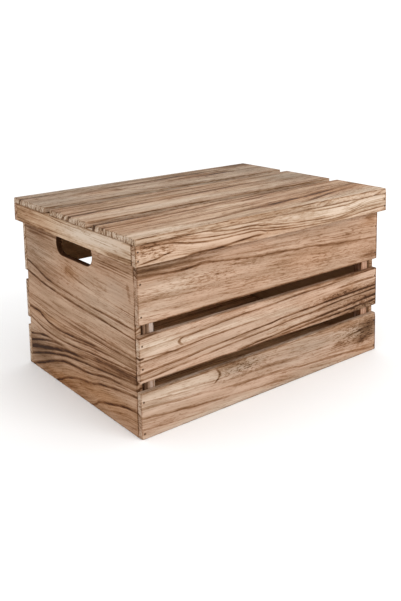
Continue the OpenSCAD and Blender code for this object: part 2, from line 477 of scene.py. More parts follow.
RAMP_LINES = 7          # a colour ramp holds 32 stops, and a line takes four
LINE_SPREAD = 1.1
LINE_SHAPE = ((-0.5, 0.0), (-0.12, 1.0), (0.15, 0.85), (0.75, 0.0))   # across a line: place, darkness
RING_SHAPE = ((0.0, 0.0), (0.3, 0.05), (0.75, 0.7), (0.88, 1.0), (1.0, 0.0))
LEAST_GAP = 0.5         # between two paths, for the level to count on
SEED_SHIFT = 37.0       # how far apart in the noise the boards lie
SWAY = (70, 16, 1.0)    # waves in which rings stray: length, width, and the noise's detail
SHAKE = (14, 3.5, 1.0)
WANDER_RATE, WANDER = 0.3, 2.4      # how fast the width of faint rings changes, and how much
PATCH_WAVES = (22, 7, 7)            # the ragged rim of patches: the size of its waves
PATCH_JITTER = (30, 11, 11)         # and how far they reach
PATCH_FALL = 0.37       # what is left of a patch at its given reach
STROKE_FADE = 0.25      # the share of a stroke over which each end thins out
END_DEPTH = (0.9, 0.3)  # the end grain starts, and is full, this far from a board's end
CHAR_DEPTH = (4, 2.5)   # and the same for the charred arrises of the ends
INNER_DEPTH = (0.1, 0.8)            # where unburnt wood starts to fade, from the inner face
TICK_SCALE = (0, 1 / 2.2, 1 / 12)   # of the noise that the dark marks on the end grain are
DASH, FIBRE, MOTTLE = 0.16, 0.36, 0.2             # how dark these make a board
BRUSHED = 0.25 * MM     # how deep the brush has gone, in metres

# Marks drawn out along the grain: their length and width, the noise's detail and roughness, and
# the values of the noise between which they grow
MARKS = {
    "uneven": (30, 5, 2.0, 0.5, 0.3, 0.7),        # how strongly drawn lines show
    "ring": (60, 9, 2.0, 0.5, 0.35, 0.65),        # and the faint rings
    "fleck": (15, 2.1, 3.0, 0.55, 0.48, 0.72),
    "crowd": (55, 15, 2.0, 0.5, 0.36, 0.62),      # where flecks crowd
    "dash": (6, 1.3, 2.0, 0.5, 0.5, 0.75),
    "speck": (7, 2.2, 3.0, 0.7, 0.45, 0.68),
    "fibre": (70, 0.9, 3.0, 0.6, 0.3, 0.75),
    "mottle": (85, 11, 2.0, 0.55, 0.3, 0.7),
    "worn": (24, 24, 2.0, 0.5, 0.3, 0.65),        # how dark an arris is: charred, and on the lid boards also painted shade of the gaps
    "streak": (110, 9, 2.0, 0.5, 0.34, 0.66),
    "cloud": (90, 40, 2.0, 0.5, 0.35, 0.65),
}

# The burn's colour over the wood's own, from none to full
SCORCH = (
    (0.0, (1.0, 1.0, 1.0, 1)),
    (0.3, (0.62, 0.52, 0.425, 1)),
    (0.6, (0.34, 0.23, 0.15, 1)),
    (1.0, (0.105, 0.062, 0.037, 1)),
)

# What patches can change, and how much of it there is without them
FIELDS = {"dark": 0.0, "pale": 0.0, "grey": 0.0, "warm": 0.0, "speck": 0.0, "ring": 0.35, "fleck": 0.3}

# What holds for a board whose figure doesn't say otherwise
DEFAULTS = FIELDS | {
    "tilt": 0.3,         # how much the rings lean through the thickness
    "sway": 0.7,         # how far they stray in long waves
    "shake": 0.6,        # and in short ones
    "force": 1.3,        # how dark the drawn rings are
    "spacing": 4.5,      # of the faint rings
    "stain": 0.4,        # how dark the wood is round the nails, or in the hand hole
    "edge": 0.22,        # along the arrises
    "end_edge": 0.5,     # and along those of the ends
    "ticks": 0.3,        # dark marks on the end grain
    "end_pale": 0.25,    # how pale the end grain is
    "inner": 0.0,        # 1 where the inner face is unburnt
    "raw": RAW,
    "lines": {},         # where along the board: (place across, width, darkness) of dark lines
    "strokes": (),       # run, path, width and darkness of short lines
    "patches": {},       # by kind: x, y, reach along, reach across and power
}


class Wood(Graph):
    """The graph of one board's material, with the places that all of its parts start from."""

    def __init__(self, name, figure, half):
        super().__init__(name)
        self.figure, self.half = DEFAULTS | figure, half
        shift = SEED_SHIFT * self.figure["seed"]
        self.place = self.object_place()
        self.far = self.vector("ADD", self.place, (shift * 3, shift, shift))
        self.x, self.y, self.z = self.node("SeparateXYZ", {0: self.place}).outputs
        self.uneven = self.marks("uneven", 0.6, 1.2)

    def grain_noise(self, length, width, detail, roughness=0.5, where=None):
        place = self.far if where is None else where
        return self.noise(self.scaled(place, (1 / length, 1 / width, 1 / width)), detail, roughness)

    def marks(self, kind, least=0.0, most=1.0, where=None):
        *waves, low, high = MARKS[kind]
        return self.stretch(self.grain_noise(*waves, where), low, high, least, most)

    def layer(self, name):
        """A layer of the mesh."""
        return self.node("Attribute", attribute_name=name).outputs["Fac"]


def path_height(path, half_length):
    """How high a path runs across the board, on average."""
    places = [-0.8 * half_length, 0, 0.8 * half_length]
    return float(np.mean(np.interp(places, list(path), list(path.values()))))


def path_line(w, off, width):
    """A dark line along a path, from the distance to it."""
    width *= LINE_SPREAD
    low, high = LINE_SHAPE[0][0] * width, LINE_SHAPE[-1][0] * width
    stops = [((place * width - low) / (high - low), dark) for place, dark in LINE_SHAPE]
    return w.ramp(w.stretch(off, low, high, soft=False), stops)


def ring_lines(w, level, lines):
    """Dark lines where the field `level` crosses each (place, width, darkness) of lines."""
    total = None
    lines = sorted((place, width * LINE_SPREAD, dark) for place, width, dark in lines)
    for first in range(0, len(lines), RAMP_LINES):
        part = lines[first:first + RAMP_LINES]
        low, high = part[0][0] - part[0][1] * 2, part[-1][0] + part[-1][1] * 2
        stops, end = [(0.0, 0.0)], low
        for place, width, dark in part:
            for off, share in LINE_SHAPE:
                end = max(end, place + off * width)
                stops.append(((end - low) / (high - low), share * dark))
        shade = w.ramp(w.stretch(level, low, high, soft=False), stops)
        total = shade if total is None else w.most(total, shade)
    return total


def growth_rings(w):
    """The level, which counts across the rings, and how dark the drawn rings are."""
    figure, half_length = w.figure, w.half[0]

    # Rings stray a little, and run on through the thickness
    stray = w.times_add(w.minus(w.z, w.half[2]), figure["tilt"], w.y)
    stray = w.times_add(w.minus(w.grain_noise(*SWAY), 0.5), 2 * figure["sway"], stray)
    stray = w.times_add(w.minus(w.grain_noise(*SHAKE), 0.5), 2 * figure["shake"], stray)

    # Each path follows one ring. The level counts across them, and some are dark late wood
    level, drawn = None, 0.0
    for path, width, darks in sorted(figure["paths"], key=lambda item: path_height(item[0], half_length)):
        curve = w.curve(w.x, path)
        off = w.minus(stray, curve)
        here = path_height(path, half_length)
        if level is None:
            level = w.add(w.math("MINIMUM", off, 0.0), here)
        else:
            gap = w.most(w.minus(curve, last_curve), LEAST_GAP)
            share = w.math("DIVIDE", last_off, gap, clamp=True)
            level = w.times_add(share, here - last_here, level)
        last_curve, last_off, last_here = curve, off, here
        if width:
            dark = w.curve(w.x, darks) if isinstance(darks, dict) else darks
            drawn = w.most(drawn, w.times(path_line(w, off, width), dark))
    level = w.add(level, w.most(last_off, 0.0))

    # More lines at given levels, which change along the board
    shades, before = None, None
    for where, lines in sorted(figure["lines"].items()):
        shade = ring_lines(w, level, lines)
        shades = shade if shades is None else w.blend(w.stretch(w.x, before, where), shades, shade)
        before = where
    if shades is not None:
        drawn = w.most(drawn, shades)
    return level, w.times(drawn, w.times(w.uneven, figure["force"]))


def patch_fields(w):
    """What the flame or the tree left in patches with ragged rims, by kind."""
    ragged = w.node("TexNoise", {"Vector": w.scaled(w.far, [1 / c for c in PATCH_WAVES]), "Scale": 1.0})
    jitter = w.scaled(w.vector("SUBTRACT", ragged.outputs["Color"], (0.5,) * 3), PATCH_JITTER)
    roam = w.vector("ADD", w.place, jitter)
    field = {kind: w.figure[kind] for kind in FIELDS}
    for kind, patches in w.figure["patches"].items():
        for x, y, reach_x, reach_y, power in patches:
            gap = w.scaled(w.vector("SUBTRACT", roam, (x, y, 0)), (1 / reach_x, 1 / reach_y, 0))
            fall = w.math("POWER", PATCH_FALL, w.vector("DOT_PRODUCT", gap, gap))
            field[kind] = w.times_add(fall, power, field[kind])
    return field


def faint_rings(w, level, amount):
    """Rings between the drawn ones, uneven in width and in darkness."""
    spacing = w.figure["spacing"]
    inputs = {"W": w.times(level, WANDER_RATE / spacing), "Scale": 1.0, "Detail": 1.0}
    wander = w.node("TexNoise", inputs, noise_dimensions="1D").outputs["Fac"]
    count = w.times_add(wander, WANDER, w.times(level, 1 / spacing))
    late = w.ramp(w.math("FRACT", count), RING_SHAPE)
    lot = w.node("TexWhiteNoise", {"W": w.math("FLOOR", count)}, noise_dimensions="1D").outputs["Value"]
    return w.times(w.times(w.times(late, lot), amount), w.marks("ring", 0.3, 1.3))


def add_strokes(w, dark):
    """Short lines of their own, such as the rim of a knot, thinning out at both ends."""
    for run, path, width, power in w.figure["strokes"]:
        along, across = (w.x, w.y) if run == "x" else (w.y, w.x)
        off = w.math("ABSOLUTE", w.minus(across, w.curve(along, path)))
        start, *_, end = path
        fade = STROKE_FADE * (end - start)
        body = w.times(w.stretch(along, start, start + fade), w.stretch(along, end - fade, end, 1.0, 0.0))
        off = w.times_add(w.minus(1.0, body), 0.5 * width, off)
        line = w.stretch(off, 0.15 * width, width, 1.0, 0.0)
        dark = w.times_add(w.times(w.times(line, body), w.uneven), power, dark)
    return dark


def wood_colour(w, field, end, inner):
    """Pinkish and yellowish tan in long streaks, with patches, pale end grain and raw inner faces."""
    light, mid = w.figure["colours"]
    colour = w.tint(w.marks("streak"), srgb(*light), srgb(*mid))
    colour = w.tint(w.times(w.marks("cloud"), 0.3), colour, srgb(*CAST))
    for kind, shade in (("pale", CREAM), ("grey", ASH), ("warm", AMBER)):
        share = w.math("MULTIPLY", field[kind], 1.0, clamp=True)
        colour = w.tint(share, colour, srgb(*shade))
    colour = w.tint(w.times(end, w.figure["end_pale"]), colour, srgb(*CREAM))
    return w.tint(inner, colour, srgb(*w.figure["raw"]))


def torched_wood(name, figure, half):
    """One board's material: its figure of rings, flecks and patches in charred, brushed wood."""
    w = Wood(name, figure, half)
    figure = w.figure
    level, drawn = growth_rings(w)
    field = patch_fields(w)
    lines = w.most(drawn, faint_rings(w, level, field["ring"]))

    # Flecks, specks and fibres that the brush has opened, and the flame's uneven tan
    on_rings = w.node("CombineXYZ", {0: w.x, 1: level, 2: w.z}).outputs[0]
    fleck = w.times(w.marks("fleck", where=on_rings), w.marks("crowd", 0.35, 1.25))
    dash = w.marks("dash")
    fibre = w.marks("fibre", where=on_rings)
    mottle = w.marks("mottle", where=on_rings)
    dark = w.times_add(fleck, field["fleck"], lines)
    dark = w.times_add(w.marks("speck"), field["speck"], dark)
    dark = w.times_add(dash, DASH, dark)
    dark = w.times_add(w.minus(fibre, 0.4), FIBRE, dark)
    dark = w.times_add(w.minus(mottle, 0.5), MOTTLE, dark)
    dark = add_strokes(w, w.add(dark, field["dark"]))

    # End grain, charred arrises (on the lid boards' long edges also painted shade of the gaps between them)
    # and the burnt wood round the nails and in the hand hole
    reach = w.math("ABSOLUTE", w.x)
    end = w.stretch(reach, *(half[0] - depth for depth in END_DEPTH))
    tick = w.stretch(w.noise(w.scaled(w.far, TICK_SCALE), 2.0, 0.6), 0.5, 0.64)
    dark = w.times_add(w.times(tick, end), figure["ticks"], dark)
    worn = w.times(w.layer("wear_and_gap_shade"), w.marks("worn", 0.35, 1.2))
    at_end = (half[0] - depth for depth in CHAR_DEPTH)
    char_and_gap_shade = w.stretch(reach, *at_end, figure["edge"], figure["end_edge"])
    dark = w.times_add(worn, char_and_gap_shade, dark)
    dark = w.times_add(w.layer("stain"), figure["stain"], dark)
    inner = w.stretch(w.z, *(depth - half[2] for depth in INNER_DEPTH), figure["inner"], 0.0)
    burn = w.math("MULTIPLY", dark, w.times_add(inner, -0.8, 1.0), clamp=True)
    colour = wood_colour(w, field, end, inner)

    # Brushing leaves the hard dark rings proud and the soft wood and pores low
    height = w.times_add(lines, 0.8, w.times(fibre, 0.45))
    height = w.times_add(w.add(fleck, dash), -0.4, height)
    bump = w.node("Bump", {"Height": height, "Strength": 0.5, "Distance": BRUSHED})
    return w.surface({
        "Base Color": w.tint(1.0, colour, w.ramp(burn, SCORCH), "MULTIPLY"),
        "Roughness": w.stretch(burn, 0.0, 0.8, 0.66, 0.52),
        "Normal": bump.outputs["Normal"],
        "Specular IOR Level": 0.03,
    })


# ---- the boards' figures

# A path follows one ring: where it runs (x: y), its width, and its darkness, which may change
# with x. What the keys mean is said at DEFAULTS.
SLAT = {"inner": 1, "end_edge": 0.15, "end_pale": 0}
# On the lid boards the darkening along the long arrises is partly charring and partly painted shade of the
# gaps between them.
LID = {"spacing": 6, "end_pale": 0.8, "ticks": 0.5, "end_edge": 0.2, "edge": 0.35}
FIGURES = {}

figure = FIGURES["front_slat_top"] = SLAT | {
    "seed": 1, "colours": ((182, 154, 133), (161, 133, 111)), "tilt": 0.5, "ring": 0.18, "fleck": 0.26,
}
figure["paths"] = [
    # The top path's dark line, at the skirt's lower edge on the left, is partly a ring and partly painted
    # shadow of the lid's skirt.
    ({-240: 24, -150: 22, 0: 20, 240: 12}, 6, {-240: 0.5, -190: 0.4, -130: 0.2, -60: 0}),
    ({-240: 16.5, -150: 15, -60: 12, 0: 9, 100: 6, 240: 0}, 5, {-240: 0.5, -180: 0.4, -130: 0.15, -90: 0}),
    ({-240: 9, -200: 8.5, -180: 7, -160: 6.5, -140: 8, -130: 8.5, -100: 5.5, -80: 4, -40: 0, -20: -1.5,
     0: -2, 40: -4, 50: -5.5, 70: -5.5, 85: -6.5, 100: -9, 120: -10.5, 140: -13, 180: -15, 240: -18}, 4.0,
     {-240: 0.55, -150: 0.5, -110: 0.5, -40: 0.44, 40: 0.46, 75: 0.36, 110: 0.42, 165: 0.4, 200: 0.25,
     240: 0.15}),
    ({-240: -10, -100: -16, 0: -22, 100: -27, 240: -34}, 0, 0),
    ({-240: -40, 0: -50, 240: -60}, 0, 0),
]
figure["strokes"] = [
    # The first stroke, along the lower edge, is partly charred arris and partly painted shadow of the gap
    # below the slat.
    ("x", {-240: -52.6, 0: -52.8, 240: -52.6}, 2.4, 0.5),
    ("y", {-110: 229.3, 110: 229.3}, 3.4, 0.38),
    ("x", {-236: 7, -190: 6.5, -150: 6.5, -110: 7}, 3.2, 0.12),
]
figure["patches"] = {
    "dark": [(-205, 17, 55, 6, 0.25), (-120, -15, 110, 40, 0.04), (214, 17, 16, 9, 0.35),
        (213, -44, 22, 7, 0.4), (172, -48, 14, 3, 0.25)],
    "speck": [(-110, -14, 100, 22, 0.32), (110, -30, 110, 18, 0.2)],
    "grey": [(-200, 17, 60, 7, 0.5)],
    "pale": [(-175, -14, 45, 12, 0.4), (-215, -40, 40, 10, 0.35)],
    "warm": [(215, 12, 22, 12, 0.4), (90, -25, 120, 22, 0.2)],
    "fleck": [(150, 0, 60, 20, 0.1)],
}

figure = FIGURES["front_slat_middle"] = SLAT | {
    "seed": 2, "colours": TAN, "tilt": -0.4, "ring": 0.22, "force": 1.4, "fleck": 0.2,
}
figure["paths"] = [
    ({-240: 12, -165: 14.5, -150: 15, -140: 15.5, -120: 17, -80: 20, -60: 21, -20: 21.5, 0: 22.5, 60: 25,
     100: 25.5, 140: 27, 200: 29.5, 240: 30.5}, 2.8, {-168: 0, -156: 0.4, -100: 0.46, 0: 0.42, 60: 0.5,
     150: 0.35, 240: 0.4}),
    ({-240: -2.8, -210: -1.5, -175: 0.3, -140: 2, -100: 4, -60: 5.3, 0: 6, 100: 9, 240: 12}, 2.6,
     {-240: 0.32, -150: 0.42, -100: 0.5, -60: 0.35, -25: 0.08, 240: 0}),
    ({-240: -19.5, -210: -17.5, -180: -15.5, -160: -15, -140: -13.5, -120: -11.5, -80: -9.5, -40: -7,
     0: -5.5, 20: -3.5, 50: -2, 100: -0.5, 140: 1, 240: 3}, 2.9, {-240: 0.42, -40: 0.55, 40: 0.6,
     120: 0.75, 240: 0.75}),
    ({-240: -27.3, -210: -26, -180: -23.5, -140: -20.7, -100: -18.5, -60: -16, 0: -13, 40: -10.5, 80: -9.5,
     100: -8, 140: -5.5, 200: -3.5, 240: -2.3}, 2.6, {-240: 0.45, 60: 0.5, 140: 0.65, 240: 0.7}),
    ({-240: -32, -120: -29.5, -60: -28.3, -30: -26.5, 0: -25.5, 20: -24, 40: -22, 80: -20.5, 140: -17.5,
     180: -16, 240: -12.5}, 3.6, {-70: 0.1, -45: 0.6, 0: 0.5, 80: 0.65, 140: 0.65, 240: 0.65}),
    ({-240: -40, -60: -34, 0: -29, 60: -26.5, 140: -25, 200: -22.5, 240: -20.5}, 3.6, {-20: 0, 10: 0.3,
     60: 0.45, 120: 0.6, 240: 0.65}),
]
figure["strokes"] = [
    ("y", {2.5: -159, 6: -164.5, 9: -167.5, 11.5: -167.5, 14: -163.5, 17.5: -154}, 4.0, 0.48),
    ("y", {-62: 229.3, 62: 229.3}, 3.4, 0.38),
    ("x", {-245: 2, -225: 2.3, -205: 1.6, -165: -1}, 2.0, 0.45),
    ("x", {-236: 1.6, -230: 1.7, -222: 2}, 2.2, 0.95),
    ("x", {-250: 28, -223: 29.6, -208: 31, -190: 33}, 2.0, 0.5),
    ("x", {-170: -30.5, -60: -30, 100: -31}, 1.8, 0.4),
    ("x", {80: 3, 130: 4.8, 170: 5.4, 290: 5.5}, 6.0, 0.28),
    ("x", {130: -14, 190: -12, 290: -9}, 4.5, 0.22),
    ("x", {110: -30, 180: -27.5, 290: -25}, 7.0, 0.22),
    ("x", {125: 15.5, 160: 16.5, 200: 17.5, 240: 15.5}, 2.6, 0.4),
    ("x", {110: 29, 170: 31, 260: 33}, 3.0, 0.5),
]
figure["patches"] = {
    "pale": [(-205, 15, 45, 12, 0.85), (-150, 9, 20, 4, 0.5), (-60, 11, 70, 5, 0.45), (20, 6, 50, 4, 0.45),
        (60, -6.5, 60, 2, 0.4), (30, -17, 40, 4, 0.45)],
    "dark": [(40, 29, 90, 4, 0.15), (175, -12, 65, 22, 0.1)],
    "grey": [(205, -26, 50, 7, 0.4)],
    "speck": [(165, 4, 80, 5, 0.9), (195, -13, 55, 5, 0.9), (190, -26, 60, 6, 0.9)],
    "warm": [(165, 13, 24, 4, 0.35), (70, 12, 60, 8, 0.12)],
}

figure = FIGURES["front_slat_bottom"] = SLAT | {
    "seed": 3, "colours": ((183, 158, 139), (163, 138, 117)), "tilt": 0.6, "ring": 0.2, "force": 0.86,
    "fleck": 0.2,
}
figure["paths"] = [
    ({-240: 34, -100: 30, 0: 24, 100: 18, 240: 12}, 0, 0),
    ({-240: 22, -60: 9, 0: 7, 30: 4, 60: 2, 140: -1, 240: -6}, 6, {-75: 0, -40: 0.28, 25: 0.36, 60: 0.2,
     240: 0.25}),
    ({-240: 11, -205: 9.5, -190: 7.5, -160: 4.2, -140: 3.3, -120: 1, -80: -2.5, -40: -5, 0: -7, 40: -10,
     60: -13, 100: -15.5, 140: -18, 180: -21.5, 200: -24, 240: -26}, 3.6, {-240: 0.15, -190: 0.36,
     -60: 0.38, 5: 0.5, 30: 0.36, 100: 0.42, 240: 0.36}),
    ({-240: -2, -215: -4, -180: -8, -165: -9, -140: -12.5, -120: -13.5, -80: -17, -40: -19.5, 0: -23,
     40: -26, 100: -30.5, 240: -38}, 3.6, {-240: 0.42, -180: 0.52, -60: 0.46, -10: 0.42, 30: 0.28, 90: 0.2,
     240: 0}),
    ({-240: -17, -180: -22, -100: -27, 0: -35, 240: -50}, 3, {-240: 0.1, -140: 0.2, 240: 0}),
]
figure["strokes"] = [
    ("y", {7: -114, 12: -107, 16: -102.5, 21.5: -100, 27: -103, 34: -111}, 3.4, 0.6),
    ("y", {-62: 229.3, 62: 229.3}, 3.4, 0.38),
    ("x", {155: 6.5, 175: 8.5, 190: 10, 210: 13}, 2.6, 0.4),
    ("x", {-230: 30.5, -60: 30.5, 60: 30, 190: 29}, 1.6, 0.3),
]
figure["patches"] = {
    "speck": [(-55, 19, 42, 12, 0.8), (185, 8, 55, 20, 0.7)],
    "dark": [(-85, 27, 22, 4, 0.15), (145, 0, 14, 4, 0.35), (198, -6, 16, 6, 0.65), (214, 12, 20, 14, 0.7)],
    # The grey band at y -31 and the pale bands at y -28 and -29 along the lower arris are painted light:
    # the white floor's glow on the rounded edge.
    "grey": [(205, 8, 40, 14, 0.5), (60, 12, 80, 14, 0.35), (-60, 22, 40, 10, 0.35), (0, -31, 200, 3, 0.6)],
    "pale": [(-165, 21, 70, 11, 0.65), (-110, -28, 120, 5, 0.5), (120, -29, 80, 3, 0.4)],
    "warm": [(205, -22, 40, 7, 0.45), (150, 27, 50, 5, 0.3)],
}

figure = FIGURES["end_panel_left"] = {
    "seed": 4, "colours": PANEL_TAN_AND_SHADE, "tilt": 0.4, "ring": 0.1, "spacing": 3.6, "fleck": 0.2, "inner": 1,
    "stain": 1.0, "force": 1.6, "edge": 0.15,
}
figure["paths"] = [
    ({-160: 97, -60: 96, 60: 94.5, 100: 94, 160: 92}, 5, {-160: 0.35, -70: 0.25, 60: 0.12, 160: 0.12}),
    ({-160: 66, -60: 58, -15: 51, 0: 47.5, 20: 44.5, 60: 40, 100: 37, 160: 33.5}, 3, {-30: 0, -5: 0.3,
     40: 0.2, 160: 0.3}),
    ({-160: 43, -145: 41, -135: 38.5, -120: 35, -100: 28.5, -80: 24.8, -60: 23, -40: 21.8, 0: 19, 40: 17.5,
     80: 16.5, 120: 15.5, 160: 14.5}, 3.6, {-160: 0.45, -100: 0.55, -60: 0.4, 0: 0.4, 80: 0.5, 160: 0.4}),
    ({-160: 26, -140: 22.5, -120: 19.5, -100: 16, -80: 14, -40: 11, 0: 9, 40: 7.5, 80: 5.8, 120: 3.8,
     160: 1.5}, 3.6, {-160: 0.35, -130: 0.55, -60: 0.5, 0: 0.45, 90: 0.5, 160: 0.3}),
    ({-160: -11, -120: -14, -60: -18, -20: -20, 40: -21, 160: -23}, 2.6, {-160: 0.2, -60: 0.3, 20: 0.25,
     80: 0.4, 160: 0.35}),
    ({-160: -19, -100: -23, 0: -26.5, 100: -27.5, 160: -27.5}, 2.4, {-160: 0.2, 0: 0.3, 160: 0.4}),
    ({-160: -33, -135: -33.5, -120: -34, -112: -37, -100: -41, -80: -44.5, -60: -45.5, -20: -44, 0: -42.5,
     40: -39, 80: -37, 160: -35}, 4.4, {-160: 0.4, -115: 0.6, -60: 0.5, 0: 0.5, 40: 0.45, 75: 0.2,
     160: 0.2}),
    ({-160: -40, -130: -47, -100: -50, -60: -50.5, -20: -49, 0: -47, 20: -44.5, 60: -41.5, 160: -38}, 3.0,
     {-160: 0.3, -80: 0.15, -20: 0.3, 20: 0.5, 60: 0.45, 160: 0.3}),
    ({-160: -48, -140: -52, -120: -56, -100: -59, -70: -60.5, -40: -60, 0: -57, 20: -54.5, 60: -50.5,
     100: -47, 160: -42}, 3.4, {-160: 0.4, -60: 0.5, 40: 0.5, 160: 0.45}),
    ({-160: -58, -120: -63, -90: -65.5, -60: -65, -20: -62, 20: -58, 60: -54, 160: -46}, 1.6, {-160: 0.2,
     -90: 0, -20: 0.2, 20: 0.35, 160: 0.4}),
    ({-160: -81, -130: -74, -110: -70, -90: -67.5, -60: -67, -30: -65, 0: -62.5, 40: -58.5, 80: -54.5,
     160: -49}, 4.0, {-160: 0.6, -100: 0.6, -70: 0.2, 0: 0.25, 60: 0.4, 160: 0.5}),
    ({-160: -92, -130: -84, -110: -78.5, -90: -73.5, -70: -70, -50: -68.5, 0: -65.5, 40: -61.5, 80: -57,
     160: -52}, 4.4, {-160: 0.55, -90: 0.6, -40: 0.3, 60: 0.35, 160: 0.5}),
    ({-160: -103, -130: -95, -110: -90, -80: -83, -60: -78, -40: -73.5, -20: -70.5, 0: -69, 40: -65,
     80: -60.5, 160: -54.5}, 6.5, {-160: 0.6, -80: 0.75, -20: 0.6, 20: 0.3, 160: 0.35}),
    ({-160: -116, -130: -106, -110: -100, -90: -94, -50: -84, -30: -80, 0: -75.5, 50: -70, 100: -64,
     160: -57}, 4.2, {-160: 0.6, -90: 0.6, 0: 0.6, 50: 0.5, 160: 0.4}),
    ({-160: -134, -120: -118.5, -100: -111, -80: -103.5, -60: -97, -40: -92, 0: -87.5, 20: -86, 40: -82.5,
     80: -74.5, 120: -70, 160: -66}, 4.4, {-160: 0.5, -60: 0.55, 0: 0.5, 160: 0.45}),
    ({-160: -165, -60: -126, -40: -116, 0: -104, 40: -97, 60: -91, 80: -87, 120: -80, 160: -75}, 3.8,
     {-160: 0.3, -40: 0.5, 60: 0.5, 160: 0.4}),
    ({-160: -190, 0: -142, 45: -126, 55: -119, 80: -112, 120: -101, 140: -98, 160: -96}, 4.2, {30: 0.3,
     70: 0.5, 130: 0.55, 150: 0.3}),
]
figure["strokes"] = [
    ("x", {-160: 91, -110: 91, -50: 89}, 2.6, 0.3),
    ("x", {-160: 101, -110: 101, -50: 100}, 3.0, 0.5),
    ("x", {50: 99, 110: 99.5, 160: 98.5}, 2.0, 0.4),
    ("x", {50: 89.5, 110: 89, 160: 87}, 1.8, 0.4),
    ("x", {50: 86, 110: 85.5, 160: 83}, 1.6, 0.4),
    ("x", {50: 82, 110: 81.5, 160: 80}, 1.6, 0.4),
    ("y", {45: 145, 58: 142, 68: 140, 78: 139}, 5.5, 0.3),
    ("y", {60: -20, 54: -26, 48: -22}, 5, 0.16),
]
figure["patches"] = {
    "dark": [(-125, -98, 50, 20, 0.48), (-50, -125, 110, 5, 0.2), (0, -100, 150, 22, 0.08),
        (-18, 56, 14, 8, 0.14), (80, -58, 80, 9, 0.16), (-120, -37, 22, 4, 0.25), (151, -50, 3, 90, 0.1),
        (-110, 45, 55, 50, 0.15), (-120, 92, 60, 10, 0.12)],
    "grey": [(-125, -98, 60, 30, 0.55), (112, 60, 26, 14, 0.25), (-130, 62, 55, 45, 0.4)],
    "warm": [(50, -108, 110, 20, 0.65), (-60, -122, 60, 10, 0.6), (-16, 52, 22, 12, 0.5),
        (-90, -38, 60, 6, 0.3)],
    "pale": [(110, 24, 60, 20, 0.16), (-150, -55, 14, 12, 0.2), (70, 30, 90, 40, 0.2)],
    "ring": [(115, 92, 60, 14, 0.7), (80, -32, 110, 14, 0.8), (-100, -30, 60, 16, 0.4),
        (60, -72, 110, 20, 0.6)],
}

figure = FIGURES["lid_skirt_front"] = {
    "seed": 5, "colours": ((196, 171, 150), (176, 149, 127)), "tilt": 0.3, "ring": 0.25, "spacing": 3.4,
    "fleck": 0.2, "force": 1.38, "sway": 0.3, "shake": 0.3, "end_edge": 0.35,
}
figure["paths"] = [
    ({-250: 14, -130: 16, -100: 16, -60: 15, 0: 13, 60: 11, 100: 9, 140: 9.3, 170: 12, 250: 16}, 2.4,
     {-250: 0.3, -190: 0.4, -130: 0.25, -100: 0.1, 30: 0.05, 60: 0.3, 100: 0.4, 150: 0.3, 170: 0}),
    ({-250: 12, -130: 14, -115: 11.5, -100: 10, -80: 8.5, -45: 8, -30: 5.5, 0: 2.5, 20: 0.5, 60: -2.5,
     100: -3.8, 140: -3, 160: -1, 180: 2, 200: 4, 250: 4}, 2.4, {-250: 0.2, -140: 0.2, -100: 0.45,
     -40: 0.5, 20: 0.4, 120: 0.36, 180: 0.3, 250: 0.15}),
    ({-250: 11, -160: 10, -150: 8, -120: 5.5, -80: 4, -60: 4.2, -40: 3, -20: 0, 0: -2, 40: -5, 80: -7,
     120: -8, 140: -6.5, 180: -2, 250: -0.5}, 2.4, {-250: 0.1, -160: 0.3, -120: 0.5, -40: 0.5, 40: 0.4,
     180: 0.4, 250: 0.2}),
    ({-250: 10, -200: 9.5, -185: 8.5, -160: 4, -140: 1.5, -120: 0, -60: 0, -40: -0.2, -20: -4, 0: -5.5,
     40: -8.5, 100: -10.5, 150: -9.5, 180: -7.5, 250: -5}, 2.6, {-250: 0.2, -195: 0.55, -160: 0.5,
     -100: 0.4, -20: 0.5, 40: 0.35, 140: 0.4, 250: 0.3}),
    ({-250: -16, -100: -18, 0: -21, 250: -20}, 0, 0),
]
figure["strokes"] = [
    ("x", {-245: -12, -225: -10, -210: -8, -190: -4, -172: -1}, 1.8, 0.6),
    ("x", {-120: -12, -80: -9.5, -60: -8, -40: -7, -10: -7.5}, 2.2, 0.65),
    ("x", {-170: -13.5, -125: -12, -80: -12.5}, 2.6, 0.55),
]
figure["patches"] = {
    "speck": [(-215, 3, 34, 12, 0.72)],
    "pale": [(60, 9, 110, 10, 0.6), (200, 6, 60, 14, 0.6), (120, -4, 130, 16, 0.4), (-70, 12, 60, 3, 0.3)],
    "warm": [(0, -7, 50, 5, 0.3)],
    "dark": [(-200, 16, 30, 3, 0.2), (-120, -10, 50, 3, 0.2), (236, 0, 3, 40, 0.2)],
}

figure = FIGURES["lid_rail_left"] = {
    "seed": 6, "colours": ((200, 174, 148), (178, 150, 122)), "tilt": 0.3, "ring": 0.3, "spacing": 2.6,
    "fleck": 0.2, "sway": 0.5, "shake": 0.3,
}
figure["paths"] = [
    ({-180: 11.5, -100: 12.5, -60: 11.5, 0: 9.5, 60: 10.5, 180: 11.5}, 2.4, {-180: 0.2, -80: 0.3,
     -40: 0.35, 0: 0.25, 40: 0.2, 70: 0.1, 180: 0.1}),
    ({-180: 6.5, -100: 6.5, 0: 4.5, 100: 2.5, 150: 1, 180: -0.5}, 1.8, {-180: 0.3, 0: 0.1, 120: 0,
     150: 0.3}),
    ({-180: -6.5, -60: -8.5, 40: -7.5, 100: -7.5, 180: -6.5}, 2.2, {-180: 0.45, -100: 0.4, 0: 0.1, 80: 0.2,
     120: 0.4, 180: 0.5}),
]
figure["strokes"] = [
    ("x", {80: -9.5, 125: -10, 200: -9.5}, 2.8, 0.6),
    ("x", {-180: -11.5, -120: -11.5, -50: -12.5}, 3, 0.45),
]
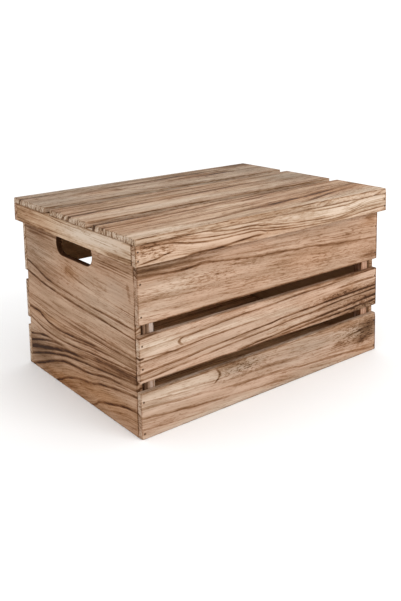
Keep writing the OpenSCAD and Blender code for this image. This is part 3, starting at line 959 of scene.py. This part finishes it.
figure["patches"] = {
    # The pale band at y 14.5 along the whole rail is painted light on its top face, which lies in the shade
    # between the lid boards.
    "pale": [(100, 4.5, 80, 14, 0.9), (20, 3.5, 60, 12, 0.6), (0, 14.5, 400, 1.2, 0.8)],
    "dark": [(80, 0, 90, 30, -0.1), (-150, -4.5, 40, 10, 0.15), (-100, 0, 60, 30, 0.1)],
    "warm": [(-110, -0.5, 80, 10, 0.25)],
}

figure = FIGURES["lid_board_front"] = LID | {
    "seed": 7, "colours": LID_TAN, "tilt": 0.5, "ring": 0.4, "fleck": 0.42, "force": 1.65,
}
figure["paths"] = [
    ({-250: 45, -180: 45, -100: 50, 0: 58, 250: 70}, 8, {-250: 0.75, -170: 0.6, -120: 0.35, -60: 0.1,
     0: 0}),
    ({-250: 24, -190: 25, -150: 29, -100: 33, -60: 37, 0: 42, 60: 46, 250: 58}, 7, {-250: 0.35, -190: 0.3,
     -120: 0.25, -40: 0.3, 50: 0.4, 250: 0.2}),
    ({-250: 12, -150: 16, -100: 22, -20: 31, 30: 32, 60: 36, 250: 46}, 7, {-250: 0.1, -60: 0, 0: 0.35,
     40: 0.35, 80: 0.1, 250: 0.3}),
    ({-250: 0, -100: 4, 0: 9, 60: 14, 250: 34}, 4, {-250: 0.1, 0: 0.1, 250: 0.15}),
    ({-250: -10, -100: -12, 0: -12, 20: -8, 60: -3, 100: 5, 150: 12, 250: 24}, 4, {-250: 0, 10: 0.1,
     30: 0.4, 60: 0.2, 140: 0.3, 250: 0.2}),
    ({-250: -26, -160: -28, -100: -29, -60: -25, -20: -20, 0: -19, 40: -16, 80: -11, 100: -9, 140: -4,
     170: 1, 250: 16}, 9, {-250: 0, -160: 0.1, -110: 0.3, -60: 0.35, 0: 0.4, 45: 0.6, 75: 0.45, 100: 0.3,
     140: 0.55, 170: 0.25, 250: 0.2}),
    ({-250: -44, -60: -40, 60: -38, 90: -33, 120: -25, 150: -18, 250: 0}, 7, {60: 0, 90: 0.35, 130: 0.45,
     170: 0.3, 250: 0.1}),
]
figure["patches"] = {
    "pale": [(-190, -38, 80, 14, 0.8), (120, -46, 150, 9, 0.7), (0, 22, 90, 5, 0.3),
        (205, -36, 50, 12, 0.6), (-150, 16, 60, 4, 0.3)],
    "dark": [(-190, 24, 60, 20, 0.06), (200, 48, 60, 6, 0.2)],
    "warm": [(60, -16, 60, 7, 0.4), (170, -5, 80, 14, 0.4), (-200, 20, 60, 12, 0.3)],
    "fleck": [(110, -46, 160, 12, -0.3)],
}

figure = FIGURES["lid_board_middle"] = LID | {
    "seed": 8, "colours": LID_TAN, "tilt": 1.2, "ring": 0.4, "fleck": 0.4, "grey": 0.1, "force": 1.5,
}
figure["paths"] = [
    ({-250: 44, -100: 46, 0: 52, 250: 64}, 8, {-250: 0.2, -190: 0.4, -140: 0.3, -60: 0.1, 250: 0}),
    ({-250: 30, -150: 30, -60: 34, -20: 38, 20: 37, 60: 38, 130: 40, 250: 50}, 8, {-250: 0.3, -150: 0.15,
     -60: 0.3, -15: 0.5, 20: 0.4, 60: 0.3, 250: 0.15}),
    ({-250: 5, -200: 7, -160: 9, -120: 12, -60: 16, 30: 17, 250: 30}, 6, {-250: 0.45, -150: 0.4, -90: 0.2,
     0: 0.15, 30: 0.3, 80: 0}),
    ({-250: -9, -200: -7, -160: -5, -100: -3, -60: -1, -20: 1, 0: 2, 40: 4, 80: 8, 120: 9, 250: 14}, 9,
     {-250: 0.6, -170: 0.5, -100: 0.35, -40: 0.4, 30: 0.55, 90: 0.45, 130: 0.15, 250: 0.1}),
    ({-250: -26, 0: -20, 60: -16, 100: -13, 250: -8}, 6, {20: 0, 70: 0.2, 110: 0.2, 250: 0.1}),
    ({-250: -54, 0: -50, 100: -48, 250: -44}, 5, {-60: 0, 20: 0.15, 100: 0.35, 250: 0.3}),
]
figure["patches"] = {
    "pale": [(-130, -32, 110, 14, 0.5), (0, -30, 80, 14, 0.4), (-80, 22, 40, 6, 0.3),
        (120, -28, 110, 12, 0.4)],
    "grey": [(200, 10, 60, 40, 0.7)],
    "dark": [(180, -6, 14, 8, 0.2), (80, 10, 120, 20, 0.06)],
    "warm": [(-60, 8, 30, 10, 0.3)],
}

figure = FIGURES["lid_board_back"] = LID | {
    "seed": 9, "colours": ((180, 161, 142), (152, 130, 110)), "tilt": 0.6, "ring": 0.35, "fleck": 0.5,
    "grey": 0.25, "force": 2.0,
}
figure["paths"] = [
    ({-250: 27, -180: 28, -60: 36, 60: 40, 250: 46}, 5, {-250: 0.6, -215: 0.6, -170: 0.3, -80: 0.1}),
    ({-250: 4, -150: 6, -100: 12, 0: 17, 40: 20, 100: 22, 250: 30}, 10, {-160: 0, -130: 0.25, -60: 0.3,
     30: 0.4, 120: 0.35, 170: 0.1}),
    ({-250: -12, -100: -10, 0: -8, 60: 0, 100: -4, 140: -4, 250: -2}, 8, {-150: 0, -100: 0.2, -60: 0,
     50: 0.2, 100: 0.4, 140: 0.5, 170: 0.1}),
    ({-250: -40, 0: -46, 250: -44}, 5, 0.12),
]
figure["strokes"] = [
    ("x", {-98: 0, -80: -14, -62: -28, -40: -39, -5: -47, 60: -50}, 4.5, 0.42),
    ("x", {-88: 2, -70: -9, -48: -22, -22: -31, 20: -36, 70: -38}, 3, 0.22),
    ("y", {-22: 190, -12: 168, -2: 152, 10: 145, 26: 142}, 6, 0.3),
]
figure["patches"] = {
    "dark": [(105, 8, 50, 10, 0.3), (215, 38, 50, 12, 0.6), (-86, -7, 7, 8, 0.5), (50, 34, 60, 12, 0.3)],
    "grey": [(-205, -20, 50, 40, 0.4), (-120, 44, 120, 8, 0.5), (200, -10, 50, 20, 0.4)],
    "pale": [(0, -30, 70, 14, 0.3), (140, -38, 90, 12, 0.4)],
    "warm": [(90, 4, 60, 14, 0.35), (-110, -8, 40, 14, 0.3)],
}

RING_STEPS = (4, 6, 9, 13, 18)      # between the dark lines of a random figure


def random_figure(seed, half_width):
    """A figure for a board that the photograph doesn't show, of the same kind as the others."""
    rng = random.Random(seed)
    slope, bow, swell = rng.uniform(-0.05, 0.05), rng.uniform(-9, 9), rng.uniform(-6, 6)
    paths = []
    for height, share in ((-half_width, rng.uniform(0.4, 1.4)), (half_width, rng.uniform(0.4, 1.4))):
        path = {}
        for x in range(-240, 241, 80):
            t = x / 240
            path[x] = height + slope * x + share * (bow * t * t + swell * math.sin(4 * t + seed))
        paths.append((path, 0, 0))
    ends = {}
    for where in (-160, 160):
        at, lines = -half_width - 12, []
        while at < half_width + 12:
            at += rng.choice(RING_STEPS)
            lines.append((at, rng.uniform(1.8, 3.6), rng.uniform(0.15, 0.6)))
        ends[where] = lines
    patches = {}
    for _ in range(4):
        kind = rng.choice(("dark", "pale", "warm", "grey"))
        place = (rng.uniform(-200, 200), rng.uniform(-1, 1) * half_width)
        reach = (rng.uniform(25, 70), rng.uniform(6, 18))
        patches.setdefault(kind, []).append((*place, *reach, rng.uniform(0.2, 0.45)))
    return {
        "seed": seed, "colours": TAN, "tilt": rng.uniform(-0.9, 0.9), "ring": 0.25, "fleck": 0.22,
        "inner": 1, "end_edge": 0.4, "end_pale": 0, "paths": paths, "lines": ends, "patches": patches,
    }


def figure_of(node, seed, half_width, changes):
    """The figure drawn from the photograph, or else a random one with its changes."""
    return FIGURES.get(node) or random_figure(seed, half_width) | changes


# ---- every board

PLAIN = {"inner": 0, "end_edge": 0.4}
PINK_POST = PLAIN | {"colours": POST_PINK, "ring": 0.15, "force": 0.6, "patches": {}}
GREY_POST = PINK_POST | {"colours": POST_GREY}
# The dark patch on the half next to the end panel is painted shadow of the panel on the batten.
FRONT_POST = GREY_POST | {"patches": {"dark": [(0, -5, 400, 5, 0.5)]}, "force": 1.0}
BACK_SLAT = {"end_pale": 0.7}

# How boards lie, the nails set in their faces, and the changes to their random figures
GROUPS = (
    (FRONT, "front_nails", {}, ("front_slat_top", "front_slat_middle", "front_slat_bottom")),
    # The back top slat's darker raw inner face is painted shade, under the lid.
    (BACK, "back_nails", BACK_SLAT | {"raw": (164, 128, 90)}, ("back_slat_top",)),
    (BACK, "back_nails", BACK_SLAT, ("back_slat_middle", "back_slat_bottom")),
    (FLAT, "lid_brads", {}, ("lid_board_front", "lid_board_middle", "lid_board_back")),
    (FRONT, "lid_front_nails", {}, ("lid_skirt_front",)),
    (BACK, "lid_back_nails", {}, ("lid_skirt_back",)),
    (LEFT, None, {}, ("lid_rail_left",)),
    (RIGHT, None, {}, ("lid_rail_right",)),
    (POST, None, FRONT_POST, ("batten_front_left",)),
    # The dark patch along the right front batten's inward edge is painted shade on its side.
    (POST, None, PINK_POST | {"patches": {"dark": [(0, -9, 400, 3, 0.5)]}}, ("batten_front_right",)),
    (POST, None, GREY_POST, ("batten_back_left",)),
    (POST, None, PINK_POST, ("batten_back_right",)),
    (CLEAT, None, PLAIN | {"colours": INNER}, ("floor_cleat_left", "floor_cleat_right")),
    (FLAT, "floor_brads", PLAIN | {"colours": FLOOR_BROWN},
     ("floor_board_front", "floor_board_middle", "floor_board_back")),
)
PANELS = {
    "end_panel_left": (LEFT, {}),
    # The right panel's darker raw inner face is painted shade inside the box.
    "end_panel_right": (RIGHT, {"colours": PANEL_TAN_AND_SHADE, "raw": (164, 128, 94)}),
}
BOARD_SEED, PANEL_SEED = 40, 70

# Worn and split spots: x, y, z and how far they reach
CHIPS = {
    "front_slat_middle": [(-230, 1, 4, 1.4), (230, -31, 4, 0.8)],
    "front_slat_bottom": [(-230, 31, 4, 1.6), (229, 30, 4, 1.6), (-229, -31, 4, 1.2)],
    "front_slat_top": [(228, -53, 4, 0.6), (-229, -53, 4, 1.2)],
    "end_panel_left": [(154, -108, 4, 1.0), (-154, -60, 4, 1.0)],
}
# Edges that are rounder than the rest: which side across the board, and by how much
SOFT_EDGES = {"lid_board_front": (-1, 1.2), "lid_board_back": (1, 1.0)}


def slot_of(node):
    return next(part["material_slot"] for part in frame["record"]["subparts"] if part["node"] == node)


def body_of(node):
    return next(body for body, nodes in frame["record"]["behaviour"]["bodies"].items() if node in nodes)


def place_board(board, mesh, figure):
    """Puts a board's mesh where its CAD node is, in its stead, and gives it its wood."""
    mesh.materials.append(torched_wood(board.node, figure, board.half))
    piece = bpy.data.objects.new(board.node + "_wood", mesh)
    bpy.context.scene.collection.objects.link(piece)
    piece.matrix_world = Matrix.Translation(board.middle) @ board.axes.to_4x4()
    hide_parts(board.node)
    slot_of(board.node)
    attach(piece, body_of(board.node))


BOARDS = [(node, *group) for *group, nodes in GROUPS for node in nodes]
for number, (node, lie, nail_node, changes) in enumerate(BOARDS):
    board = Board(node, lie)
    chips, soft_edge = CHIPS.get(node, ()), SOFT_EDGES.get(node)
    mesh = board_mesh(board, board.nails(nail_node), number, chips, soft_edge)
    place_board(board, mesh, figure_of(node, BOARD_SEED + number, board.half[1], changes))

for number, (node, (lie, changes)) in enumerate(PANELS.items()):
    board = Board(node, lie)
    seed = PANEL_SEED + number
    mesh = panel_mesh(board, HandHole(board), seed, CHIPS.get(node, ()))
    place_board(board, mesh, figure_of(node, seed, board.half[1], changes))

# ---- nails


NAIL_SPECKS = (1.6, 1.6, 1.6)       # specks of rust in a millimetre, each way


def nail_steel():
    """Dark steel, dulled by heat."""
    g = Graph("nail_steel")
    speck = g.noise(g.scaled(g.object_place(), NAIL_SPECKS), 3.0)
    colour = g.ramp(speck, ((0.3, srgb(38, 34, 32)), (0.6, srgb(66, 58, 52)), (0.8, srgb(92, 62, 44))))
    rough = g.stretch(speck, 0.3, 0.7, 0.4, 0.7)
    return g.surface({"Base Color": colour, "Roughness": rough, "Metallic": 0.8})


steel = nail_steel()
for node, piece in frame["nodes"].items():
    if "nails" in node or "brads" in node:
        piece.data.materials.clear()
        piece.data.materials.append(steel)

# ---- floor, light and camera

FLOOR_HALF = 6.0
FLOOR_DROP = 0.0002
FLOOR_COLOUR = (0.9, 0.9, 0.9, 1)
SKY_COLOUR = (1, 1, 1, 1)
SKY_STRENGTH = 1.14
LIGHT_PLACE, LIGHT_TARGET = Vector((0.5, -2.2, 1.5)), Vector((0, 0, 0.13))
LIGHT_SIZE = 1.6
LIGHT_POWER = 28

# The camera stands before the left front corner, turned left, tilted down and rolled a little.
CAMERA_PLACE = Vector((-0.7310, -0.9431, 0.5110))
CAMERA_TURN, CAMERA_TILT, CAMERA_ROLL = (math.radians(a) for a in (-37.756, 9.363, -1.076))
CAMERA_LENS = 46.165
CAMERA_SENSOR = 36
CAMERA_SHIFT = -0.225


paint = Graph("floor")
paint.surface({"Base Color": FLOOR_COLOUR, "Roughness": 0.9, "Specular IOR Level": 0.1})
floor_mesh = bpy.data.meshes.new("floor")
corners = [(x * FLOOR_HALF, y * FLOOR_HALF, -FLOOR_DROP) for x, y in ((-1, -1), (1, -1), (1, 1), (-1, 1))]
floor_mesh.from_pydata(corners, [], [(0, 1, 2, 3)])
floor_mesh.materials.append(paint.material)
floor = bpy.data.objects.new("floor", floor_mesh)
bpy.context.scene.collection.objects.link(floor)

world = bpy.data.worlds.new("studio")
bpy.context.scene.world = world
world.use_nodes = True
sky = world.node_tree.nodes["Background"].inputs
sky["Color"].default_value = SKY_COLOUR
sky["Strength"].default_value = SKY_STRENGTH

light = bpy.data.lights.new("key", "AREA")
light.shape = "SQUARE"
light.size = LIGHT_SIZE
light.energy = LIGHT_POWER
lamp = bpy.data.objects.new("key", light)
lamp.location = LIGHT_PLACE
lamp.rotation_euler = (LIGHT_TARGET - LIGHT_PLACE).to_track_quat("-Z", "Y").to_euler()
bpy.context.scene.collection.objects.link(lamp)

camera_data = bpy.data.cameras.new("camera")
camera_data.lens = CAMERA_LENS
camera_data.sensor_width = CAMERA_SENSOR
camera_data.shift_y = CAMERA_SHIFT
camera = bpy.data.objects.new("camera", camera_data)
turned = Matrix.Rotation(CAMERA_TURN, 4, "Z")
tilted = Matrix.Rotation(math.pi / 2 - CAMERA_TILT, 4, "X")
rolled = Matrix.Rotation(CAMERA_ROLL, 4, "Z")
camera.matrix_world = Matrix.Translation(CAMERA_PLACE) @ turned @ tilted @ rolled
bpy.context.scene.collection.objects.link(camera)
bpy.context.scene.camera = camera
bpy.context.scene.view_settings.view_transform = "Standard"
